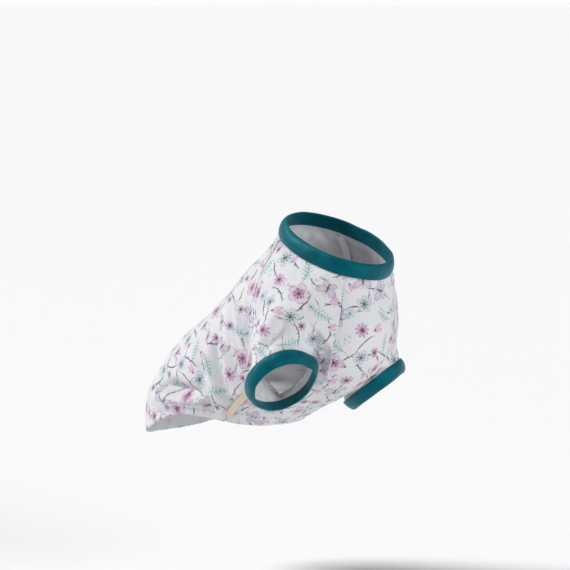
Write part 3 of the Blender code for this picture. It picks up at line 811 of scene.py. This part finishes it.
# Radius and heart in millimetres, the turn in radians, the other numbers are shares
petalKeys = ("petals", "blunt", "notch", "radius", "fade", "streaks", "strength", "line", "heart",
             "fill", "ink", "core")
blossoms = {
    "daisy": (9, 0.8, 0.45, 5.4, 0.50, 0.35, 1.0, 0.55, 1.6, "magenta", "pinkInk", "plum"),
    "starlet": (7, 0.8, 0.50, 3.5, 0.50, 0.30, 0.95, 0.25, 1.2, "magenta", "pinkInk", "plum"),
    "bluebell": (5, 0.5, 0.36, 6.6, 0.70, 0.25, 0.90, 0.80, 1.5, "blue", "blueInk", "slate"),
    "rose": (5, 0.45, 0.60, 7.4, 0.55, 0.30, 0.80, 0.90, 0.6, "pink", "pinkInk", "pink"),
    "roseHeart": (5, 0.5, 0.50, 4.3, 0.45, 0.35, 0.70, 0.90, 1.4, "magenta", "pinkInk", "plum"),
    "mintlet": (5, 0.6, 0.45, 3.4, 0.70, 0.25, 0.70, 0.45, 0.8, "teal", "tealInk", "tealInk"),
}
blossoms = {name: dict(zip(petalKeys, row)) for name, row in blossoms.items()}
blossoms["bluebell"]["stamens"] = 8
blossoms["roseHeart"].update(stamens=7, turn=0.63)


def stems(colour, x, y, shift, seed, clear):
    # long thin curved stems, some with small buds to both sides
    a, b, kind = scattered(x, y, 22.5, shift, seed, 8.0, (0.8, 1.15))
    bend = ((kind * 11.0).math("FRACT") - 0.5) * 0.075
    off = b - a * a * bend + a * a * a * 0.0006
    taper = 1 - a * a * (1 / 150.0)
    tip = a.abs().below(11.0, 0.6)
    line = off.near(0.0, 0.12, 0.34).math("MAXIMUM", (off.abs() - taper * 0.50).below(0.0, 0.34)) * tip
    budded = among(kind, 0.30, 0.75)
    step = a * (1 / 3.1)
    side = (step.math("FLOOR") * 0.5).math("FRACT") * 4 - 1
    along = (step.math("FRACT") - 0.5) * 3.1
    away = (off * side - 1.0 - along * 0.5)
    bud = (along * along * 0.9 + away * away * 2.6).math("SQRT").below(0.75, 0.35) * a.abs().below(9.3, 0.5)
    shown = among(kind, 0.0, 0.92)
    colour = colour.tinted("twig", line * shown * clear * 0.92)
    return colour.tinted("tealInk", bud * budded * shown * clear * 0.75)


def printed(x, y, colour):
    # a slight unevenness, as of a brush, and where the paint is wetter
    wet = noise(x, joined(x, y), 0.35, 3.0)
    aside, along = [(noise(x, joined(x, y, z), 0.42, 2.0) - 0.5) * 1.3 for z in (11.0, 29.0)]
    x, y = x + aside, y + along
    p, q, sort = scattered(x, y, 19.0, (0.0, 0.0), 1.7, 4.0, (0.88, 1.12))
    a, b, kind = scattered(x, y, 19.0, (0.5, 0.25), 3.1, 6.0, (0.85, 1.20))
    clear = 1 - polar(p, q)[0].below(6.0, 1.5) * 0.85
    clearer = clear * (1 - polar(a, b)[0].below(3.6, 1.0) * 0.85)
    colour = stems(colour, x, y, (0.3, 0.6), 5.9, clearer)
    colour = stems(colour, x, y, (0.8, 0.1), 8.6, clearer)

    # small things between
    colour = blossom(colour, a, b, among(kind, 0.0, 0.38) * clear, wet, blossoms["starlet"])
    colour = blossom(colour, a, b, among(kind, 0.38, 0.52) * clear, wet, blossoms["mintlet"])
    rings = among(kind, 0.52, 0.74) * clear
    for a0, b0, size in ((-2.3, 0.4, 0.80), (1.6, 1.9, 0.60), (0.9, -1.8, 0.95)):
        r = oval(a, b, a0, b0, 1.0, 1.0)
        colour = colour.tinted("teal", rings * r.below(size, 0.3) * 0.45)
        colour = colour.tinted("tealInk", rings * r.near(size, 0.10, 0.30) * 0.75)
    pods = among(kind, 0.74, 1.1) * clear
    r = oval(a, b.abs() - 0.5, 0.6, 0.6, 3.0, 1.15, 0.22)
    colour = colour.tinted("pink", pods * r.below(1.0, 0.2) * (0.3 + wet * 0.6))
    colour = colour.tinted("pinkInk", pods * r.near(1.0, 0.06, 0.16) * 0.7)
    colour = colour.tinted("plum", pods * oval(a, b, -2.6, 0.0, 1.1, 0.8).below(1.0, 0.5) * 0.8)

    # the larger motifs, each for a range of the chance value
    for name, low, high in (("daisy", 0.0, 0.20), ("bluebell", 0.20, 0.42), ("rose", 0.42, 0.58),
                            ("roseHeart", 0.42, 0.58)):
        colour = blossom(colour, p, q, among(sort, low, high), wet, blossoms[name])

    # a fern sprig
    sprig = among(sort, 0.58, 0.80)
    mid = q - p * p * 0.018
    cellAt = ((p + mid.abs() * 0.55) * (1 / 2.5)).math("FRACT") - 0.5
    reach = 4.4 - (p + 1.0).abs() * 0.42
    leafAt = mid.abs() / reach.math("MAXIMUM", 0.2)
    leaf = cellAt.abs() - (0.34 - leafAt * 0.32)
    span = p.abs().below(9.0, 0.5) * leafAt.below(1.0, 0.15) * sprig
    colour = colour.tinted("teal", span * leaf.below(0.0, 0.10) * (0.45 + wet * 0.6))
    spine = sprig * p.near(0.6, 9.6, 0.5) * mid.near(0.0, 0.14, 0.32)
    rims = span * leaf.near(0.0, 0.03, 0.10) * 0.55
    colour = colour.tinted("tealInk", spine.math("MAXIMUM", rims) * 0.8)

    # a butterfly
    moth = among(sort, 0.80, 1.1)
    wing = oval(p, q.abs(), 2.1, 3.7, 4.1, 2.5, 0.95)
    lower = oval(p, q.abs(), -2.5, 2.6, 2.9, 1.9, -0.75)
    nearest = wing.math("MINIMUM", lower)
    both = moth * nearest.below(1.0, 0.12)
    veins = (wing * 9).math("SINE").near(0.0, 0.10, 0.25) * 0.4
    colour = colour.tinted("lilac", both * (nearest * 0.5 + 0.1 + wet * 0.3))
    outline = moth * wing.near(1.0, 0.02, 0.09).math("MAXIMUM", lower.near(1.0, 0.03, 0.12))
    colour = colour.tinted("lilacInk", outline.math("MAXIMUM", both * veins) * 0.85)
    body = moth * oval(p, q.abs(), 0.2, 0.0, 3.6, 0.62).below(1.0, 0.2)
    feeler = moth * (q.abs() - (p - 3.4) * 0.55).near(0.0, 0.14, 0.3) * p.near(4.7, 1.5, 0.3)
    return colour.tinted("twig", body.math("MAXIMUM", feeler) * 0.85)


def shiftedCopy(mat, name, shift):
    # the same print cut from another place of the cloth
    mat = mat.copy()
    mat.name = name
    for node, amount in zip(("shiftX", "shiftY"), shift):
        mat.node_tree.nodes[node].inputs[1].default_value = amount
    return mat


def jerseyMaterial(name):
    mat, start, shader = newMaterial(name, 0.86, 0.12)
    x, y = flatPlace(start)
    ground = plainColour(start, inks["cloth"])
    cloudA = noise(start, joined(x, y), 0.045, 2.0)
    cloudB = noise(start, joined(x, y, 40.0), 0.05, 2.0)
    ground = ground.tinted("lilacCloth", cloudA.above(0.42, 3.0) * 0.45)
    ground = ground.tinted("mintCloth", cloudB.above(0.46, 4.0) * 0.50)
    art = printed(x, y, ground)
    inside = attribute(start, "inside")
    colour = ground.tinted(art, 1 - inside * 0.8)
    # painted shade: a thin dark line along the turned hem's top edge and a faint darkening along each piece's
    # seam edges
    hem = attribute(start, "hemNear")
    seam = attribute(start, "seamNear")
    shade = hem.near(clothForm["hemTall"], 0.00035, 0.0004) * 0.35
    shade = shade.math("MAXIMUM", seam.below(0.0004, 0.0006) * 0.12)
    colour = colour.tinted("paintedShade", shade)
    fuzz = noise(start, joined(x, y, 3.0), 1.4, 4.0)
    colour = colour.tinted("fuzz", fuzz.above(0.45, 0.6))
    colour.into(shader, "Base Color")
    (fuzz * 0.15 + 0.78).into(shader, "Roughness")
    jerseyBump(x, y, shader, wale=0.85, course=0.62, depth=0.16)
    return mat


bandInks = {"teal": (0.0006, 0.062, 0.086, 1), "deep": (0.0005, 0.026, 0.038, 1),
            "pale": (0.002, 0.155, 0.19, 1), "gloss": (0.03, 0.70, 0.85, 1), "sheen": (0.02, 0.55, 0.62, 1)}


def bandMaterial(name):
    mat, start, shader = newMaterial(name, 0.5, 0.35)
    shader.inputs["Specular IOR Level"].default_value = 0.60
    shader.inputs["Specular Tint"].default_value = bandInks["gloss"]
    shader.inputs["Sheen Tint"].default_value = bandInks["sheen"]
    x, y = flatPlace(start)
    tone = noise(start, joined(x, y), 0.09, 3.0)
    fine = noise(start, joined(x, y, 9.0), 1.8, 3.0)
    colour = plainColour(start, bandInks["teal"])
    colour = colour.tinted(bandInks["deep"], tone.above(0.42, 3.0) * 0.75)
    colour = colour.tinted(bandInks["pale"], fine.above(0.52, 2.0) * 0.35)
    colour.into(shader, "Base Color")
    (fine * 0.25 + 0.30).into(shader, "Roughness")
    jerseyBump(x, y, shader, wale=0.80, course=0.60, depth=0.14)
    return mat


def plainMaterial(name, colour, dark, roughness, pitch):
    mat, start, shader = newMaterial(name, roughness, 0.05)
    x, y = flatPlace(start)
    # painted shade: the colour is darker in the grooves between the ribs, where the bump is low; the speckle
    # darkens it at random
    ribs = (y * (2 * math.pi / pitch)).math("SINE") * 0.5 + 0.5
    speckle = noise(start, joined(x, y), 1.6, 3.0)
    base = plainColour(start, (*colour, 1)).tinted((*dark, 1), (1 - ribs) * 0.35 + speckle * 0.2)
    base.into(shader, "Base Color")
    addBump(ribs * 0.00006 + speckle * 0.00004, shader)
    return mat


# The pieces

printShift = {"chest_panel": (3.0, 8.0), "back_panel": (47.0, -31.0),
              "sleeve_right": (-60.0, 12.0), "sleeve_left": (88.0, 71.0)}
jersey = jerseyMaterial("jersey_print")
print("print drawn")
surfaces, made = {}, {}
times = finish["refine"]
for node, which, faces, middle in (("chest_panel", 0, 10, 0.0), ("back_panel", 1, 38, math.pi)):
    coarse, _ = panelSurface(which, faces, middle, 1)
    uv, area = unrolled(coarse)
    grid, base = panelSurface(which, faces, middle, times)
    surfaces[node] = (grid, base, refined(uv, times), area)
for word, row in sleeves.items():
    coarse = sleeveSurface(row)
    uv, area = unrolled(coarse)
    grid = refined(coarse, times)
    surfaces["sleeve_" + word] = (grid, gridNormals(grid) * row["side"], refined(uv, times), area)
print("surfaces worked out")

for seed, (node, (grid, base, uv, area)) in enumerate(surfaces.items()):
    hem = node.endswith("panel")
    creased = folded(grid, base, 20 + seed)
    normals = gridNormals(creased)
    normals = normals * np.sign((normals * base).sum(axis=-1, keepdims=True))
    normals[:, [0, -1]] = base[:, [0, -1]]
    normals[0] = outFrom(creased[0], np.zeros(3), neckAxis())
    if not hem:
        mid, axis, _, _ = cuffFrame(sleeves[node[7:]])
        normals[-1] = outFrom(creased[-1], mid, axis)
    piece = clothPiece(node + "_cloth", creased, normals, uv, hem)
    piece.data.materials.append(shiftedCopy(jersey, node + "_print", printShift[node]))
    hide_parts(node)
    made[node] = (piece, creased, normals, uv, area)
bpy.data.materials.remove(jersey)
print("panels and sleeves made")


# Bands, each a strip folded over the edge

bandForm = {"ply": 0.00085, "half": 0.0011, "start": 0.0002, "bulge": 0.00120, "bulgeBlunt": 0.7,
            "foldPoints": 7, "innerPoints": 3, "sidePoints": 6, "neckPoints": 240, "cuffPoints": 160,
            "sway": 0.00028, "swayLong": 0.02, "drift": 0.0002, "driftLong": 0.03,
            "joinDepth": 0.0005, "joinWidth": 0.0008}


def bandPiece(name, ring, middle, axis, height, taper, seed, join):
    ring = ring[:-1]
    count = len(ring)
    radial = outFrom(ring, middle, axis)
    start, half, ply = bandForm["start"], bandForm["half"], bandForm["ply"]
    rises = np.linspace(start, height - half, bandForm["sidePoints"])
    share = np.clip((rises - start) / (height - start), 0, 1)
    swell = bandForm["bulge"] * np.sin(math.pi * share) ** bandForm["bulgeBlunt"]

    def fold(turns, radius):
        return [(height - half + radius * math.sin(turn), radius * math.cos(turn)) for turn in turns[1:-1]]

    profile = [*zip(rises, half + swell), *fold(np.linspace(0, math.pi, bandForm["foldPoints"] + 2), half)]
    profile += [(rise, -half) for rise in rises[::-1]] + [(rise, -half + ply) for rise in rises]
    profile += fold(np.linspace(math.pi, 0, bandForm["innerPoints"] + 2), half - ply)
    profile += zip(rises[::-1], half + swell[::-1] - ply)
    run = runAlong(np.vstack([ring, ring[:1]]))
    layers, uvs, length = [], [], 0.0
    for k, (rise, out) in enumerate(profile):
        shrink = 1 + (taper - 1) * rise / height
        base = middle + (ring - middle) * shrink + axis * rise
        sway = wobble(base, seed, bandForm["swayLong"]) * bandForm["sway"] * min(rise / height * 2, 1.0)
        drift = wobble(base, seed + 5, bandForm["driftLong"]) * bandForm["drift"]
        push = np.full(count, out) + sway
        if join is not None:
            at = (np.arange(count) / count - join[0]) * run[-1] - (rise - height / 2) * join[1]
            push = push - np.sign(out) * bandForm["joinDepth"] * np.exp(-((at / bandForm["joinWidth"]) ** 2))
        layers.append(base + radial * push[:, None] + axis * drift[:, None])
        if k:
            length += math.dist(profile[k], profile[k - 1])
        uvs.append(np.stack([run[:-1], np.full(count, length)], axis=-1))
    at = np.arange(len(profile) * count).reshape(-1, count)
    above, beside = np.roll(at, -1, axis=0), np.roll(at, -1, axis=1)
    faces = np.stack([at, beside, np.roll(above, -1, axis=1), above], axis=-1).reshape(-1, 4).tolist()
    obj = meshPiece(name, np.concatenate(layers), faces, np.concatenate(uvs))
    obj.data.materials.append(bandMaterial(name + "_teal"))
    return obj, run[-1]


# node, slot, cloth it rests on, ring, middle, axis, kind, seed, and the join's place and slant
bands = [("neck_band", "neck_jersey", "chest_panel_cloth",
          neckRing(bandForm["neckPoints"]), np.zeros(3), neckAxis(), "neck", 41, (0.985, 1.3))]
for word, row in sleeves.items():
    mid, axis, _, _ = cuffFrame(row)
    bands.append(("cuff_" + word, "cuff_jersey_" + word, "sleeve_" + word + "_cloth",
                  cuffRing(row, bandForm["cuffPoints"]), mid, axis, "cuff", 51, None))
for node, slot, under, ring, mid, axis, kind, seed, join in bands:
    height = cut[kind + "BandHeight"]
    piece, around = bandPiece(node + "_cloth", ring, mid, axis, height, cut[kind + "BandTaper"], seed, join)
    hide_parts(node)
    2 * height
print("bands made")

# Side tape

tapeForm = {"width": 0.0050, "wall": 0.0010, "top": 0.652, "foot": 0.925, "topTurn": 63.7, "footTurn": 53.0,
            "gap": 0.0009, "rows": 150, "columns": 8, "ribRows": 3.6, "rib": 0.00006}
down = np.linspace(tapeForm["top"], tapeForm["foot"], tapeForm["rows"] + 1)
share = (down - tapeForm["top"]) / (tapeForm["foot"] - tapeForm["top"])
turn = -np.radians(tapeForm["topTurn"] + (tapeForm["footTurn"] - tapeForm["topTurn"]) * share)
line, out = bodyPoint(down, turn), bodyNormal(down, turn)
stand = cut["cloth"] / 2 + clothForm["hemExtra"] + tapeForm["gap"]
line = folded(line[:, None], out[:, None], 21)[:, 0] + out * stand
ribs = np.sin(np.arange(tapeForm["rows"] + 1) * 2 * math.pi / tapeForm["ribRows"])[:, None] * tapeForm["rib"]
tapePiece = ribbon("side_tape_cloth", line, out, tapeForm["width"], tapeForm["wall"],
                   tapeForm["columns"], ribs)
cream = plainMaterial("cream_ribbed", (0.76, 0.65, 0.51), (0.50, 0.40, 0.29), 0.8, 0.9)
tapePiece.data.materials.append(cream)
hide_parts("side_tape")

# Seam allowances inside, and the hem's stitching

threadMat = plainMaterial("white_thread", (0.80, 0.80, 0.84), (0.60, 0.60, 0.66), 0.7, 0.5)
allowanceMat = plainMaterial("overlocked_edge", (0.78, 0.78, 0.82), (0.52, 0.52, 0.60), 0.85, 1.4)
seamForm = {"width": 0.0055, "thick": 0.0008, "below": 0.0014, "sunk": 0.0003, "reach": 0.50, "columns": 4}
extras = {node: [] for node in made}
extras["back_panel"].append(tapePiece)


def seamStrip(name, node, first, last, which):
    _, creased, normals, _, _ = made[node]
    line, out = creased[first:last:2, which], normals[first:last:2, which]
    strip = ribbon(name, line - out * seamForm["below"], out, seamForm["width"], seamForm["thick"],
                   seamForm["columns"], sunk=seamForm["sunk"])
    strip.data.materials.append(allowanceMat)
    extras[node].append(strip)


# the sleeves' strips end before the sleeve laps over the panels
upperRows = (rowsUp - 1) * times
for node in ("sleeve_right", "sleeve_left"):
    for which, word in ((0, "front"), (-1, "rear")):
        seamStrip("seam_" + word + "_" + node[7:], node, 2, int(upperRows * seamForm["reach"]), which)
for which, word in ((0, "left"), (-1, "right")):
    seamStrip("side_seam_" + word, "back_panel", upperRows, -3, which)


def hemLine(node, up):
    _, creased, normals, _, _ = made[node]
    points, outs = [], []
    for j in range(1, creased.shape[1] - 1):
        column = creased[::-1, j]
        run = runAlong(column)
        points.append(readAt(up, run, column))
        outs.append(readAt(up, run, normals[::-1, j]))
    outs = unit(np.array(outs))
    return np.array(points) + outs * (cut["cloth"] / 2 + clothForm["hemExtra"]), outs


stitchForm = {"up": (0.0074, 0.0092), "pitch": 0.0030, "long": 0.0025, "wide": 0.00050}
for node in ("chest_panel", "back_panel"):
    for k, up in enumerate(stitchForm["up"]):
        line, out = hemLine(node, up)
        row = stitchRow("hem_stitch_" + node[:5] + "_" + str(k), line, out,
                        stitchForm["pitch"], stitchForm["long"], stitchForm["wide"])
        row.data.materials.append(threadMat)
        extras[node].append(row)
for node, (piece, creased, _, uv, area) in made.items():
    wide, long = np.ptp(uv[..., 0]), np.ptp(uv[..., 1])
    share = min(float(area), 0.999 * wide * long)
    print(node, "flat size in mm", round(wide * 1000), round(long * 1000), "area in cm2", round(area * 1e4))
print("seams and stitches made")

for obj in list(bpy.data.objects):
    if obj.type == "MESH" and body_of(obj) is None:
        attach(obj, "root")

# Floor, light and camera

floorSpan, floorDown = 500.0, -0.255
bpy.ops.mesh.primitive_plane_add(size=floorSpan, location=(0, 0, floorDown))
floor = bpy.context.object
floor.name = "floor"
floorMat, _, floorShader = newMaterial("pale_floor", 0.9)
floorShader.inputs["Base Color"].default_value = (0.86, 0.86, 0.87, 1)
floor.data.materials.append(floorMat)
floor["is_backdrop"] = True

# a large key from the upper left, a weak fill from the front, and a sky that is brightest low down
lights = {
    "key": {"from": (-0.50, 0.55, 0.67), "power": 3.2, "size": 0.32},
    "fill": {"from": (0.1, -1.0, 0.35), "power": 1.7, "size": 0.6},
    "sky": 0.25, "horizon": 0.97, "horizonHigh": 0.12, "horizonSoft": 0.16,
}
world = bpy.data.worlds.new("studio")
world.use_nodes = True
tree = world.node_tree
background = tree.nodes["Background"]
sky = Wire(tree, background.outputs[0])
height = sky.node("SeparateXYZ", None, {0: sky.node("TexCoord", None, None, 0)}, 2)
low = height.abs().below(lights["horizonHigh"], lights["horizonSoft"])
glow = low * (lights["horizon"] - lights["sky"]) + lights["sky"]
glow.into(background, "Strength")
background.inputs["Color"].default_value = (1.0, 1.0, 1.0, 1)
bpy.context.scene.world = world
bpy.context.scene.view_settings.view_transform = "Standard"

for name in ("key", "fill"):
    light = lights[name]
    data = bpy.data.lights.new(name, "SUN")
    data.energy, data.angle = light["power"], light["size"]
    lamp = placed(bpy.data.objects.new(name, data))
    lamp.rotation_euler = Vector(light["from"]).to_track_quat("Z", "Y").to_euler()

view = {"azimuth": -45.0, "elevation": 5.8, "distance": 2.0, "aimRight": -0.0360, "aimUp": -0.02405,
        "lens": 175.44, "sensor": 36.0}
a, e = math.radians(view["azimuth"]), math.radians(view["elevation"])
back = np.array([math.sin(a) * math.cos(e), -math.cos(a) * math.cos(e), math.sin(e)])
right = np.array([math.cos(a), math.sin(a), 0.0])
aim = right * view["aimRight"] + np.cross(back, right) * view["aimUp"]
camera = placed(bpy.data.objects.new("camera", bpy.data.cameras.new("camera")))
camera.data.lens, camera.data.sensor_width = view["lens"], view["sensor"]
camera.location = aim + back * view["distance"]
camera.rotation_euler = Vector(back).to_track_quat("Z", "Y").to_euler()
bpy.context.scene.camera = camera

low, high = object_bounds()
